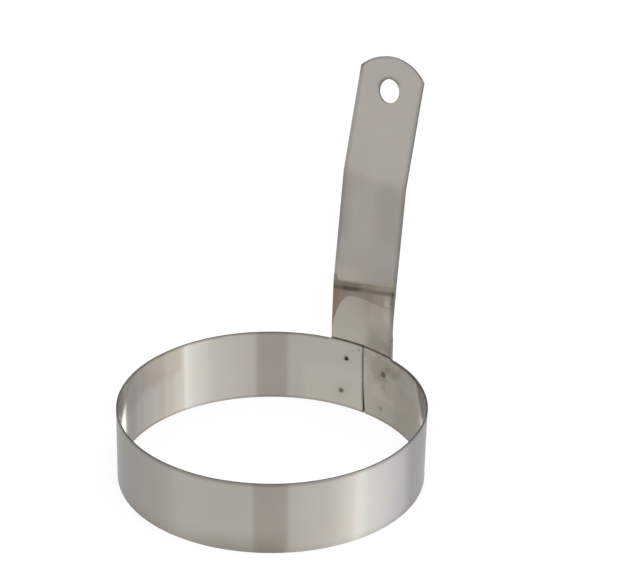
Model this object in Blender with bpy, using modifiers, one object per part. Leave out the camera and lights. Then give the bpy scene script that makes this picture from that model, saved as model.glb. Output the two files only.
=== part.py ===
"""Stainless plating ring: a rolled band with a butt seam, and a bent strip handle spot-welded over the seam.

Units are metres and +Z is up. The ring stands on its lower rim at Z = 0, and the handle rises at +Y.
Everything is laid out round the ring's axis, which an empty carries to its place in the part's frame.
"""
import math

import bmesh
import bpy
from mathutils import Euler, Vector

MM = 0.001

# Ring: a strip rolled into a hoop, its two ends meeting in a butt seam behind the handle's foot
RING_DIAMETER = 101.6 * MM
RING_HEIGHT = 25.4 * MM
BAND_GAUGE = 0.5 * MM
SEAM_GAP = 0.5 * MM
SEAM_OFFSET = 0.5 * MM
RIM_ROUND = 0.08 * MM

# Handle blank: a flat strip with a curved end and a punched hole, before it is pressed and bent
HANDLE_WIDTH = 25.0 * MM
HANDLE_GAUGE = 1.0 * MM
END_RADIUS = 17.7 * MM
CORNER_ROUND = 0.9 * MM
EDGE_ROUND = 0.12 * MM
HOLE_DIAMETER = 8.0 * MM
HOLE_FROM_TIP = 11.6 * MM

# Handle form: a foot rolled to the band, a pressed transition up to a skewed crease, then two flats
SEAT_GAP = 0.3 * MM
FOOT_LIFT = 0.6 * MM
SHOULDER_ABOVE_RIM = 17.6 * MM
SHOULDER_DROP = 14.0 * MM
SHOULDER_POWER = 5
CREASE_ABOVE_SHOULDER = 4.0 * MM
CREASE_SKEW = math.radians(9.3)
CREASE_INSET = 0.55 * MM
CREASE_DEPTH = 0.15 * MM
FOLD_BAND = 2.6 * MM
LOWER_LEAN = math.radians(7.1)
UPPER_LEAN = math.radians(14.3)
LOWER_FLAT = 39.0 * MM
BEND_RADIUS = 25.0 * MM
UPPER_LENGTH = 42.0 * MM

# Spot welds: each one's side of the handle's middle, its inset from the strip's edge and its height.
# The upper two hang from the ring's upper rim, and +1 is the right side seen from the ring's axis.
WELD_DIAMETER = 1.4 * MM
WELD_CLEARANCE = 0.3 * MM
WELD_RECESS = 0.1 * MM
WELD_DISH = 0.15 * MM
WELDS = {
    "weld_upper_left": (-1, 6.2 * MM, RING_HEIGHT - 6.4 * MM),
    "weld_lower_left": (-1, 4.4 * MM, 6.0 * MM),
    "weld_upper_right": (1, 2.9 * MM, RING_HEIGHT - 7.1 * MM),
    "weld_lower_right": (1, 4.0 * MM, 4.6 * MM),
}

# Mesh resolution
RING_STEPS = 120
HANDLE_COLUMNS = 20
ROWS = (8, 8, 4, 4, 4, 3, 2)
CORNER_STEPS = 4
HOLE_STEPS = 48
WELD_STEPS = 20

# Sizes that follow from the ones above
RING_RADIUS = RING_DIAMETER / 2
INNER_RADIUS = RING_RADIUS - BAND_GAUGE
FOOT_RADIUS = RING_RADIUS + SEAT_GAP
FOOT_BACK = FOOT_RADIUS + HANDLE_GAUGE
SHOULDER_HEIGHT = RING_HEIGHT + SHOULDER_ABOVE_RIM
CREASE_HEIGHT = SHOULDER_HEIGHT + CREASE_ABOVE_SHOULDER
BEND_HEIGHT = CREASE_HEIGHT + LOWER_FLAT
TIP_HEIGHT = BEND_HEIGHT + UPPER_LENGTH * math.cos(UPPER_LEAN)
HALF_WIDTH = HANDLE_WIDTH / 2


def flat_y(z):
    """Distance of the strip's front face from the ring's axis, where the strip is flat."""
    rise = math.tan(UPPER_LEAN) - math.tan(LOWER_LEAN)
    half = BEND_RADIUS * math.tan((UPPER_LEAN - LOWER_LEAN) / 2)
    y = FOOT_RADIUS - CREASE_INSET + (z - CREASE_HEIGHT) * math.tan(LOWER_LEAN)
    past = z - BEND_HEIGHT
    if past >= half:
        return y + rise * past
    if past > -half:
        return y + rise * (past + half) ** 2 / (4 * half)
    return y


def shoulder_z(across):
    """Top of the rolled foot: nearly level in the middle and falling away towards the strip's edges."""
    return SHOULDER_HEIGHT - SHOULDER_DROP * abs(across / HALF_WIDTH) ** SHOULDER_POWER


def crease_z(across):
    """The crease where the pressed transition meets the flat strip. It runs uphill to the right."""
    return CREASE_HEIGHT + across * math.tan(CREASE_SKEW)


def end_z(across):
    """The strip's curved end, as a height on the leaning upper flat."""
    sagitta = END_RADIUS - math.sqrt(max(END_RADIUS**2 - across**2, 0))
    return TIP_HEIGHT - sagitta * math.cos(UPPER_LEAN)


def row_height(across, place):
    """Height of a row of the blank, from 0 at the foot's lower edge to 1 at the end, along the fold lines."""
    half_bend = BEND_RADIUS * math.tan((UPPER_LEAN - LOWER_LEAN) / 2)
    lines = (
        FOOT_LIFT,
        shoulder_z(across),
        crease_z(across),
        crease_z(across) + FOLD_BAND,
        BEND_HEIGHT - half_bend,
        BEND_HEIGHT + half_bend,
        end_z(HALF_WIDTH) - CORNER_ROUND * 2,
        end_z(across),
    )
    row = place * sum(ROWS)
    for i, count in enumerate(ROWS):
        if row <= count + 1e-6:
            return lines[i] + (lines[i + 1] - lines[i]) * row / count
        row -= count
    return lines[-1]


def press(across, z):
    """Carries a point of the flat blank to its place on the pressed and bent strip's front face."""
    turn = across / FOOT_RADIUS
    foot = Vector((FOOT_RADIUS * math.sin(turn), FOOT_RADIUS * math.cos(turn), z))
    low, high = shoulder_z(across), crease_z(across)
    if z <= low:
        return foot
    if z >= high:
        above = min((z - high) / FOLD_BAND, 1)
        return Vector((across, flat_y(z) + CREASE_DEPTH * (1 - above) ** 2, z))
    crease = Vector((across, flat_y(high) + CREASE_DEPTH, z))
    return foot.lerp(crease, (z - low) / (high - low))


def material(name, colour, roughness):
    made = bpy.data.materials.new(name)
    made.use_nodes = True
    shader = made.node_tree.nodes["Principled BSDF"]
    shader.inputs["Base Color"].default_value = (*colour, 1)
    shader.inputs["Metallic"].default_value = 1
    shader.inputs["Roughness"].default_value = roughness
    return made


def add_object(name, mesh, collection, parent, finish=None):
    made = bpy.data.objects.new(name, mesh)
    collection.objects.link(made)
    made.parent = parent
    if finish:
        mesh.materials.append(finish)
    return made


def bake_modifiers(owner):
    """Replaces an object's mesh by its evaluated mesh, so that mesh code can work on the result."""
    graph = bpy.context.evaluated_depsgraph_get()
    mesh = bpy.data.meshes.new_from_object(owner.evaluated_get(graph))
    owner.modifiers.clear()
    owner.data = mesh


def add_round(owner, width):
    bevel = owner.modifiers.new("edge_round", "BEVEL")
    bevel.width = width
    bevel.segments = 2
    bevel.limit_method = "ANGLE"
    bevel.angle_limit = math.radians(50)


def cut(owner, cutter):
    boolean = owner.modifiers.new("cut_" + cutter.name, "BOOLEAN")
    boolean.operation = "DIFFERENCE"
    boolean.solver = "EXACT"
    boolean.object = cutter


def smooth(mesh):
    mesh.shade_smooth()
    mesh.set_sharp_from_angle(angle=math.radians(30))


def add_cutter(name, diameter, depth, steps, collection, parent):
    """A round punch whose axis is its own Z."""
    mesh = bpy.data.meshes.new(name)
    shape = bmesh.new()
    bmesh.ops.create_cone(
        shape, cap_ends=True, segments=steps, radius1=diameter / 2, radius2=diameter / 2, depth=depth
    )
    shape.to_mesh(mesh)
    shape.free()
    made = add_object(name, mesh, collection, parent)
    made.hide_render = True
    made.display_type = "WIRE"
    return made


def place_on_wall(owner, arc, height, radius):
    """Stands an object's Z axis along the ring's radius, at an arc from the handle's middle."""
    angle = math.pi / 2 - arc / INNER_RADIUS
    owner.location = (radius * math.cos(angle), radius * math.sin(angle), height)
    owner.rotation_euler = Euler((0, math.pi / 2, angle))


def ring_band(collection, parent):
    """The hoop: one upright line swept round the axis, short of a full turn by the seam's gap."""
    mesh = bpy.data.meshes.new("ring_band")
    mesh.from_pydata([(RING_RADIUS, 0, RING_HEIGHT), (RING_RADIUS, 0, 0)], [(0, 1)], [])
    band = add_object("ring_band", mesh, collection, parent, material("band_steel", (0.62, 0.6, 0.57), 0.3))
    gap = SEAM_GAP / RING_RADIUS
    sweep = band.modifiers.new("roll", "SCREW")
    sweep.angle = 2 * math.pi - gap
    sweep.steps = RING_STEPS
    sweep.render_steps = RING_STEPS
    sweep.merge_threshold = 0.00001
    wall = band.modifiers.new("gauge", "SOLIDIFY")
    wall.thickness = BAND_GAUGE
    wall.offset = -1
    wall.use_even_offset = True
    add_round(band, RIM_ROUND)
    band.rotation_euler.z = math.pi / 2 - SEAM_OFFSET / INNER_RADIUS + gap / 2
    return band


def pressed_sheet():
    """The front face of the handle: the blank's even grid, with every point pressed to its place."""
    shape = bmesh.new()
    bmesh.ops.create_grid(shape, x_segments=HANDLE_COLUMNS, y_segments=sum(ROWS), size=1)
    for vert in shape.verts:
        across = vert.co.x * HALF_WIDTH
        vert.co = press(across, row_height(across, (vert.co.y + 1) / 2))
    mesh = bpy.data.meshes.new("handle")
    shape.to_mesh(mesh)
    shape.free()
    return mesh


def round_corners(mesh):
    """Rounds the strip's four corners, on the edges that run through its thickness."""
    shape = bmesh.new()
    shape.from_mesh(mesh)
    sides = [edge for edge in shape.edges if edge.calc_length() < HANDLE_GAUGE * 1.2]
    corners = []
    for side in (-1, 1):
        outer = [edge for edge in sides if min(vert.co.x * side for vert in edge.verts) > HALF_WIDTH * 0.95]
        outer = [edge for edge in outer if is_through(edge)]
        outer.sort(key=lambda edge: (edge.verts[0].co.z + edge.verts[1].co.z))
        corners += [outer[0], outer[-1]]
    bmesh.ops.bevel(
        shape, geom=corners, offset=CORNER_ROUND, segments=CORNER_STEPS, profile=0.5, affect="EDGES"
    )
    shape.to_mesh(mesh)
    shape.free()


def is_through(edge):
    """True for an edge that runs from the front face to the back face."""
    along = edge.verts[1].co - edge.verts[0].co
    return abs(along.y) > 0.9 * edge.calc_length()


def handle(collection, parent):
    body = add_object("handle", pressed_sheet(), collection, parent)
    wall = body.modifiers.new("gauge", "SOLIDIFY")
    wall.thickness = HANDLE_GAUGE
    wall.offset = -1
    wall.use_even_offset = True
    bake_modifiers(body)
    body.data.materials.clear()
    body.data.materials.append(material("handle_steel", (0.64, 0.62, 0.59), 0.28))
    round_corners(body.data)
    smooth(body.data)
    add_round(body, EDGE_ROUND)
    return body


def hole_cutter(collection, parent):
    """The punch of the hang hole, square to the upper flat."""
    centre = TIP_HEIGHT - HOLE_FROM_TIP * math.cos(UPPER_LEAN)
    punch = add_cutter("hang_hole", HOLE_DIAMETER, HANDLE_GAUGE * 6, HOLE_STEPS, collection, parent)
    punch.location = (0, flat_y(centre) + HANDLE_GAUGE / 2 * math.cos(UPPER_LEAN), centre)
    punch.rotation_euler.x = math.pi / 2 - UPPER_LEAN
    return punch


def weld(name, arc, height, collection, parent, finish):
    """One nugget through both sheets, its ends dished and a little below the faces."""
    inner = INNER_RADIUS + WELD_RECESS
    outer = FOOT_BACK - WELD_RECESS
    half = (outer - inner) / 2
    radius = WELD_DIAMETER / 2
    ends = [(0, half - WELD_DISH), (radius * 0.6, half - WELD_DISH * 0.6), (radius, half)]
    outline = ends + [(x, -z) for x, z in reversed(ends)]
    mesh = bpy.data.meshes.new(name)
    links = [(i, i + 1) for i in range(len(outline) - 1)]
    mesh.from_pydata([(x, 0, z) for x, z in outline], links, [])
    nugget = add_object(name, mesh, collection, parent, finish)
    turn = nugget.modifiers.new("turn", "SCREW")
    turn.steps = WELD_STEPS
    turn.render_steps = WELD_STEPS
    turn.use_merge_vertices = True
    turn.merge_threshold = 0.00001
    place_on_wall(nugget, arc, height, (inner + outer) / 2)
    return nugget


def weld_cutter(name, arc, height, collection, parent):
    middle = (INNER_RADIUS + FOOT_BACK) / 2
    depth = (FOOT_BACK - INNER_RADIUS) * 2
    punch = add_cutter(name, WELD_DIAMETER + 2 * WELD_CLEARANCE, depth, WELD_STEPS, collection, parent)
    place_on_wall(punch, arc, height, middle)
    return punch


def main():
    for old in list(bpy.data.objects):
        bpy.data.objects.remove(old, do_unlink=True)
    parts = bpy.data.collections.new("plating_ring")
    cutters = bpy.data.collections.new("cutters")
    for collection in (parts, cutters):
        bpy.context.scene.collection.children.link(collection)

    # The ring's axis stands so that the origin is the middle of the whole part's footprint
    reach = flat_y(TIP_HEIGHT) + HANDLE_GAUGE * math.cos(UPPER_LEAN)
    axis = bpy.data.objects.new("ring_axis", None)
    axis.location.y = (RING_RADIUS - reach) / 2
    parts.objects.link(axis)

    band = ring_band(parts, axis)
    strip = handle(parts, axis)
    cut(strip, hole_cutter(cutters, axis))
    weld_finish = material("weld_steel", (0.3, 0.27, 0.24), 0.5)
    for name, (side, inset, height) in WELDS.items():
        arc = side * (HALF_WIDTH - inset)
        punch = weld_cutter(name + "_pit", arc, height, cutters, axis)
        cut(band, punch)
        cut(strip, punch)
        weld(name, arc, height, parts, axis, weld_finish)


main()
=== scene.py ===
"""Looks of the plating ring: rolled band, pressed handle, weld marks, steel and a plain studio."""
from math import atan2, copysign, cos, exp, hypot, pi, radians, sin, sqrt, tan

import bmesh
import bpy
from mathutils import Matrix, Vector


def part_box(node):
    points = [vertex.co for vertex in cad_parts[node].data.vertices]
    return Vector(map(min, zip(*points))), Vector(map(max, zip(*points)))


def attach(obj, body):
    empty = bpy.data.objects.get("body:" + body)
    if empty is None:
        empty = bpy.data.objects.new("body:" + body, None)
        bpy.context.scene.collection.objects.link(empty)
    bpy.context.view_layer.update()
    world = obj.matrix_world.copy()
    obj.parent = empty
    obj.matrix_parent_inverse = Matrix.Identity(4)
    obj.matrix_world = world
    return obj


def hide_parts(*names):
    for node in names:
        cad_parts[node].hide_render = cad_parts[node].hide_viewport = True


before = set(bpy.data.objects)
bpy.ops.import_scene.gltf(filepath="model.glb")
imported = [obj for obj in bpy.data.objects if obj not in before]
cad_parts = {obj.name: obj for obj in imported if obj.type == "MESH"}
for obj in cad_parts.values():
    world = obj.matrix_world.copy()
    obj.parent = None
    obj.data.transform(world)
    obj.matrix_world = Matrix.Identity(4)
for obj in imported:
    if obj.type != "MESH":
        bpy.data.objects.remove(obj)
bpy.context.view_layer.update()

MM = 0.001

# Ring, from the frame and the sheet's gauge; arcs are taken on the inner face from the handle's middle
BAND_LOW, BAND_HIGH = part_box("ring_band")
RING_RADIUS = (BAND_HIGH.x - BAND_LOW.x) / 2
RING_HEIGHT = BAND_HIGH.z
AXIS = Vector((0, (BAND_HIGH.y + BAND_LOW.y) / 2, 0))
BAND_GAUGE = 0.5 * MM
INNER_RADIUS = RING_RADIUS - BAND_GAUGE
FULL_ARC = 2 * pi * INNER_RADIUS
RIM_ROUND = 0.1 * MM

# Butt seam, which leans and opens towards its foot
SEAM_GAP = 0.2 * MM
SEAM_OFFSET = 0.27 * MM
SEAM_START = SEAM_OFFSET + SEAM_GAP / 2
SEAM_END = SEAM_OFFSET - SEAM_GAP / 2 + FULL_ARC
SEAM_LEAN = 0.28 * MM
SEAM_OPEN_HEIGHT = 14.0 * MM
SEAM_OPEN_POWER = 1.3
SEAM_FOOT_RIGHT = 0.85 * MM
SEAM_FOOT_LEFT = 0.38 * MM
SEAM_REACH = 4.0 * MM

# Unevenness left by the rolls: its depth, then each wave's share, number round the hoop and phase
ROLL_DEPTH = 0.02 * MM
ROLL_WAVES = ((0.5, 11, 0.7), (0.3, 19, 2.1), (0.2, 37, 4.0))

# The hoop is sprung outwards near its upper rim to the right of the handle
BULGE = 0.62 * MM
BULGE_RISE = 1.6
BULGE_MIDDLE = radians(42)
BULGE_REACH = radians(34)

# Steps of the band's mesh, fine near the seam and welds; the inner rows as height until and step in mm
FINE_STEP = 0.25 * MM
COARSE_STEP = 1.2 * MM
FINE_RIGHT = 14 * MM
FINE_LEFT = 13 * MM
OUTER_STEP = 2 * MM
INNER_ROWS = ((2.2, 0.5), (8.2, 0.22), (16, 0.9), (21.6, 0.22))
TOP_STEP = 0.6 * MM

# Handle blank and form
HANDLE_WIDTH = 25.0 * MM
HALF_WIDTH = HANDLE_WIDTH / 2
HANDLE_GAUGE = 1.0 * MM
END_RADIUS = 17.2 * MM
CORNER_ROUND = 0.9 * MM
EDGE_ROUND = 0.3 * MM
HOLE_DIAMETER = 8.0 * MM
HOLE_FROM_TIP = 11.47 * MM
HOLE_FLARE = 0.15 * MM
HOLE_STEPS = 96
SEAT_GAP = 0.16 * MM
SEAT_CLOSE = 0.1 * MM
SEAT_CLOSE_REACH = 3 * MM
FOOT_RADIUS = RING_RADIUS + SEAT_GAP
FOOT_LIFT = 0.2 * MM
SHOULDER_HEIGHT = 43.0 * MM
BLEND_POWER_RIGHT = 1.3
CREASE_HEIGHT = 47.15 * MM
CREASE_SKEW = radians(10.1)
CREASE_INSET = 0.55 * MM
CREASE_DEPTH = 0.15 * MM
FOLD_BAND = 2.6 * MM
LOWER_LEAN = radians(7.1)
UPPER_LEAN = radians(14.3)
BEND_HEIGHT = 86.0 * MM
BEND_RADIUS = 25.0 * MM
BEND_HALF = BEND_RADIUS * tan((UPPER_LEAN - LOWER_LEAN) / 2)
TIP_HEIGHT = BEND_HEIGHT + 41.85 * MM * cos(UPPER_LEAN)

# Drop of the shoulder towards each edge, and the power that it follows
SHOULDER_LEFT = (14.0 * MM, 4.5)
SHOULDER_RIGHT = (10.0 * MM, 6)

# Rows of the blank's grid up to the shoulder, crease, fold's end, bend's start and end, corners and tip
HANDLE_ROWS = (90, 40, 14, 14, 14, 10, 8)
HANDLE_COLUMNS = 60

# Spot welds: arc, height, pit radius, and how burnt the pit is
WELDS = {
    "weld_upper_left": (-6.3 * MM, 19.0 * MM, 0.95 * MM, 1.0),
    "weld_lower_left": (-8.1 * MM, 6.0 * MM, 0.95 * MM, 0.75),
    "weld_upper_right": (9.6 * MM, 18.3 * MM, 1.25 * MM, 0.72),
    "weld_lower_right": (8.5 * MM, 4.6 * MM, 1.2 * MM, 0.25),
}
PIT_DEPTH = 0.2 * MM
PIT_LIP = 0.015 * MM
PIT_LIP_WIDTH = 0.25 * MM
DISH_RADIUS = 3.2 * MM
DISH_DEPTH = 0.03 * MM
MARK_RADIUS = 2.0 * MM
MARK_DEPTH = 0.12 * MM
NUGGET_RINGS = 6
NUGGET_STEPS = 24

# Flecks of weld spatter and small dents on the inner face: arc, height, radius, darkness
FLECKS = (
    (-1.4 * MM, 23.6 * MM, 0.5 * MM, 0.35),
    (11.0 * MM, 20.8 * MM, 0.45 * MM, 0.4),
    (12.6 * MM, 20.2 * MM, 0.4 * MM, 0.3),
    (-4.0 * MM, 22.4 * MM, 0.35 * MM, 0.2),
)

# Steel: linear colours, roughness, grain, and the hues that clouds of it lean to
STEEL_COLOUR = (0.56, 0.545, 0.505)
STEEL_HUES = ((1.015, 1.0, 0.98), (0.985, 1.0, 1.01))
STEEL_ANISOTROPY = 0.6
BAND_ROUGHNESS = 0.14
HANDLE_ROUGHNESS = 0.3
ROUGHNESS_RANGE = 0.02
BAND_GRAIN = 0.006
HANDLE_GRAIN = 0.015
BAND_TANGENT = {"direction_type": "RADIAL", "axis": "Z"}
HANDLE_TANGENT = {"direction_type": "UV_MAP", "uv_map": "grain"}
FINE_GRAIN = (60.0, 5200.0, 1.0)
WIDE_GRAIN = (18.0, 900.0, 1.0)
RIM_COLOUR = (0.17, 0.162, 0.15)
STRIP_EDGE_COLOUR = (0.225, 0.215, 0.2)
EDGE_ROUGHNESS = 0.42
WELD_BURNT = (0.035, 0.03, 0.022)
WELD_CLEAN = (0.46, 0.43, 0.39)
WELD_ROUGHNESS = 0.6
WARMTH = 0.035
WARMER_WHERE_DARK = 0.15

# Straw and brown heat rings: colour, from and to as multiples of the pit's radius, strength
HEAT_RINGS = (
    ((0.33, 0.295, 0.255), 0.8, 2.2, 0.35),
    ((0.07, 0.06, 0.045), 0.55, 1.15, 0.95),
)

# Residue along the seam's lips, thinner round one height
GRIME_COLOUR = (0.13, 0.12, 0.1)
GRIME_STRENGTH = 0.65
GRIME_REACH = 0.65 * MM
GRIME_EXTRA = 0.12 * MM
GRIME_RIPPLE = 0.4 * MM
GRIME_THIN_HEIGHT = 15.5 * MM

# Wear along the band's rims, the outer foot darker, and painted contact shade along the inner foot:
# height from and to in mm, and tint
OUTER_RIM_WEAR = ((23.8, 25.3), (0.62, 0.61, 0.6))
OUTER_FOOT_DARKER = ((0.0, 3.0), (0.9, 0.89, 0.88))
SIDE_FOOT_DARKER = ((1.0, 8.0), (0.8, 0.78, 0.75))
INNER_RIM_WEAR = ((24.3, 25.1), (0.66, 0.65, 0.63))
INNER_FOOT_SHADE = ((0.5, 1.2), (0.78, 0.77, 0.75))

# The outer foot is darker on the side away from this direction, less again far out: places along it in
# mm
DARKER_SIDE = Vector((0.799, 0.602, 0.0))
DARKER_SIDE_END = (0.0, 9.0)
DARKER_SIDE_FAR = (-34.0, -11.0)
DARKER_SIDE_FAR_SHARE = 0.3

# Under the handle the inner face's rim is less worn: arc from, to and softness in mm, and share
CLEAN_RIM = (-13.0, 13.0, 1.0)
CLEAN_RIM_SHARE = 0.8

# Painted light: under the handle the rim's edge is painted brighter: X from and to in mm, and the share
# added
RIM_PAINTED_LIGHT = ((-12.5, 0.5, 0.5), (1.0, 12.8, 1.4))

# Areas of the inner face with painted reflection and shade, brighter or darker: arc from, to and
# softness in mm, brightness, height from, to and softness
INNER_AREAS = (
    ((-97.5, -73.6, 2.0), 0.77, (-2.0, 27.0, 1.0)),
    ((-73.6, -64.8, 1.8), 0.85, (-2.0, 27.0, 1.0)),
    ((-101.0, -87.0, 3.0), 1.15, (-2.0, 13.0, 7.0)),
    ((-86.5, -66.0, 3.0), 0.87, (15.5, 27.0, 4.0)),
    ((-76.5, -69.5, 3.0), 0.93, (-2.0, 17.0, 2.0)),
    ((-22.0, 0.5, 3.0), 1.06, (-2.0, 15.0, 5.0)),
    ((0.5, 45.0, 0.4), 0.94, (-2.0, 27.0, 1.0)),
    ((4.5, 15.5, 3.0), 1.08, (8.0, 16.0, 3.0)),
    ((15.5, 33.0, 3.0), 0.91, (-2.0, 17.0, 3.0)),
    ((13.0, 45.0, 3.0), 0.58, (24.5, 27.0, 0.7)),
)
INNER_AREA_WARMTH = 0.02

# Stains on the inner face: arc and height of the middle in mm, size in mm, brightness
INNER_STAINS = (
    ((8.0, 20.5), 5.5, 0.81),
    ((12.5, 14.5), 4.0, 0.87),
    ((13.6, 20.5), 3.4, 0.77),
    ((18.0, 19.5), 4.0, 0.9),
    ((22.0, 6.0), 5.0, 0.95),
    ((-8.0, 6.0), 3.5, 0.95),
    ((-84.0, 18.0), 7.0, 0.93),
)
STAIN_CORE = 0.4
STAIN_REACH = 1.2

# Painted shade and highlight round the crease: the darker fold and groove line, and a painted highlight
# on the lip, each from the strip's left over its middle to its right
SHADE_BELOW = (0.59, 0.63, 0.99)
SHADE_FOLD = (0.66, 0.75, 0.89)
GROOVE_SHADE = (0.6, 0.3, 0.44)
LIP_HIGHLIGHT = (0.17, 0.08, 0.03)
FLAT_TINT = (0.995, 0.968, 0.977)
LEFT_TO_MIDDLE = (-3.0, 0.0)
MIDDLE_TO_RIGHT = (1.5, 7.5)

# Places over the crease in mm: the fold, the flat, the groove, the fold's line and the lip's glow
FOLD_START = (0.0, 0.9)
FOLD_END = (1.75, 2.55)
FLAT_START = (2.5, 3.2)
GROOVE_PLACE = (-1.15, 0.45, 1.1)
GROOVE_LEFT_END = (-9.2, -7.8)
GROOVE_END_LOSS = 0.55
FOLD_LINE = (1.25, 1.8, 0.4)
FOLD_LINE_SHADE = 0.14
GLOW_START = (2.2, 3.0)
GLOW_END = (3.2, 9.0)

# The painted crease shade curls upwards at the strip's left edge: from and to across it in mm, how far,
# and up to where
CURL_PLACE = (-11.8, -10.1)
CURL_RISE = 2.2 * MM
CURL_KEEP = 1.9 * MM

# Front of the foot, with painted light: brightness, places in mm and the depth of the painted shade near
# the rim on the right, then the painted highlight under the shoulder
FOOT_BRIGHT = 1.02
FOOT_RIGHT_BRIGHT = 0.06
FOOT_RIGHT = (-0.5, 4.0)
FOOT_SHADE_HEIGHT = (28.0, 38.0)
FOOT_SHADE_DEPTH = 0.28
UNDER_ACROSS = (1.0, 10.5)
UNDER_HEIGHT = (35.5, 40.5)
UNDER_HIGHLIGHT_GAIN = 0.09

# Painted glint on the crease's right: across and height in mm, its peak, its two tails and its strength
GLINT_ACROSS = ((7.8, 10.1), (10.3, 11.6))
GLINT_HEIGHT = ((36.0, 40.5), (47.0, 48.5))
GLINT_PEAK = (43.6, 44.4, 46.5)
GLINT_TAILS = (0.25, 0.45)
GLINT_GAIN = 0.6

# Painted light: the corner left of the shoulder is painted brighter: across in mm, place over the crease
# in mm, and strength
CORNER_ACROSS = (-9.5, -7.0)
CORNER_PLACE = (-14.0, -1.0, 1.0)
CORNER_GAIN = 0.2

# Painted light and shade in areas of the handle's front, such as dark edge lines and margins: as those
# of the inner face, with places across the strip instead of arcs
HANDLE_AREAS = (
    ((11.15, 20.0, 0.9), 0.76, (44.8, 50.0, 1.2)),
    ((-20.0, -11.15, 0.7), 0.83, (49.25, 200.0, 1.5)),
    ((11.7, 20.0, 1.0), 0.8, (-5.0, 200.0, 1.0)),
    ((-20.0, -9.0, 5.0), 0.85, (63.0, 85.0, 10.0)),
    ((2.5, 20.0, 5.0), 0.9, (65.0, 85.5, 12.0)),
    ((-20.0, -11.65, 0.9), 0.78, (118.0, 200.0, 3.0)),
)

# Painted shade where the sheet rolls over at its sheared end and above its hole: places in mm, and
# depths from left to right
END_ROLL = (0.35, 1.1)
END_ROLL_SIDES = (-10.5, 6.0)
END_ROLL_DEPTHS = (0.34, 0.06)
HOLE_ROLL = (4.3, 5.6)
HOLE_ROLL_START = (0.5, 3.8)
HOLE_ROLL_SLANT = -0.35
HOLE_ROLL_DEPTH = 0.42

# The photograph's camera, fitted to the ring's two rims
CAMERA_AZIMUTH = radians(37.0)
CAMERA_ELEVATION = radians(27.459)
CAMERA_ROLL = radians(0.472)
CAMERA_DISTANCE = 1036.358 * MM
CAMERA_RIGHT = 13.0644 * MM
CAMERA_UP = 58.9122 * MM
CAMERA_FOCAL_PIXELS = 3127.05
IMAGE_WIDTH = 621
SENSOR_WIDTH = 36.0

# The studio that the steel reflects: azimuth from the camera, right side positive, strength and tint
GREY = (1.0, 1.0, 1.0)
CREAM = (1.0, 0.98, 0.955)
ROSE = (1.0, 0.91, 0.875)
PEARL = (1.0, 0.965, 0.955)
COOL = (1.0, 1.005, 1.06)
STUDIO = (
    (-180, 0.5, GREY),
    (-140, 0.485, GREY),
    (-98, 0.58, CREAM),
    (-80, 0.64, CREAM),
    (-74, 0.71, CREAM),
    (-12.6, 0.715, CREAM),
    (-11.2, 0.58, ROSE),
    (12, 0.6, ROSE),
    (13.3, 0.78, PEARL),
    (44, 0.89, PEARL),
    (62, 1.16, PEARL),
    (70, 1.36, GREY),
    (79, 1.17, GREY),
    (98, 1.03, COOL),
    (116, 0.83, COOL),
    (130, 0.57, COOL),
    (180, 0.5, GREY),
)

# The studio's strength by the direction's height: from, to and the strengths there; the two are added
STUDIO_HEIGHTS = ((-0.42, -0.26, 1.0, 0.92), (-0.2, 0.02, 0.0, 0.2))

# How a second reflection changes it: azimuth from and to, and the factors there; the lesser one counts
SECOND_LOOK = ((-75, -20, 0.68, 1.35), (20, 75, 1.35, 0.76))

# Soft light, floor, and the cards that only the steel's reflections see
FILL_STRENGTH = 0.8
LAMP_AZIMUTH = 20
LAMP_ELEVATION = 75
LAMP_DISTANCE = 1.2
LAMP_SIZE = 1.0
LAMP_POWER = 6
LAMP_TARGET = 0.04
FLOOR_HALF = 6.0
FLOOR_DROP = 0.05 * MM
FLOOR_COLOUR = (0.8, 0.8, 0.8)
FLOOR_GLOW = 1.09
FLOOR_GLOW_SHARE = 0.76
CARD_NEAREST = 86 * MM
CARD_FARTHEST = 0.65
CARD_LEAN = 0.045
CARD_TOP = -0.2 * MM
CARD_BOTTOM = -0.34
CARD_STRENGTH = 1.7
FOOT_GLOW_HEIGHT = 2.6 * MM
FOOT_GLOW_GAP = 0.1 * MM
FOOT_GLOWS = (("foot_glow", -18 * MM, 12.5 * MM, 0.62), ("foot_glow_end", 12.5 * MM, 21 * MM, 1.5))


def add_object(name, data):
    made = bpy.data.objects.new(name, data)
    bpy.context.scene.collection.objects.link(made)
    return made


def add_faces(name, points, faces):
    mesh = bpy.data.meshes.new(name)
    mesh.from_pydata(points, [], faces)
    return add_object(name, mesh)


def add_camera():
    turn = Matrix.Rotation(CAMERA_AZIMUTH, 3, "Z")
    forward = turn @ Vector((0, cos(CAMERA_ELEVATION), -sin(CAMERA_ELEVATION)))
    level = turn @ Vector((1, 0, 0))
    upright = turn @ Vector((0, sin(CAMERA_ELEVATION), cos(CAMERA_ELEVATION)))
    right = level * cos(CAMERA_ROLL) + upright * sin(CAMERA_ROLL)
    up = upright * cos(CAMERA_ROLL) - level * sin(CAMERA_ROLL)
    data = bpy.data.cameras.new("photo_camera")
    data.sensor_width = SENSOR_WIDTH
    data.lens = CAMERA_FOCAL_PIXELS * SENSOR_WIDTH / IMAGE_WIDTH
    data.clip_start = 0.05
    data.clip_end = 50
    camera = add_object("photo_camera", data)
    eye = AXIS - forward * CAMERA_DISTANCE + right * CAMERA_RIGHT + up * CAMERA_UP
    rotation = Matrix((right, up, -forward)).transposed()
    camera.matrix_world = Matrix.Translation(eye) @ rotation.to_4x4()
    bpy.context.scene.camera = camera


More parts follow.
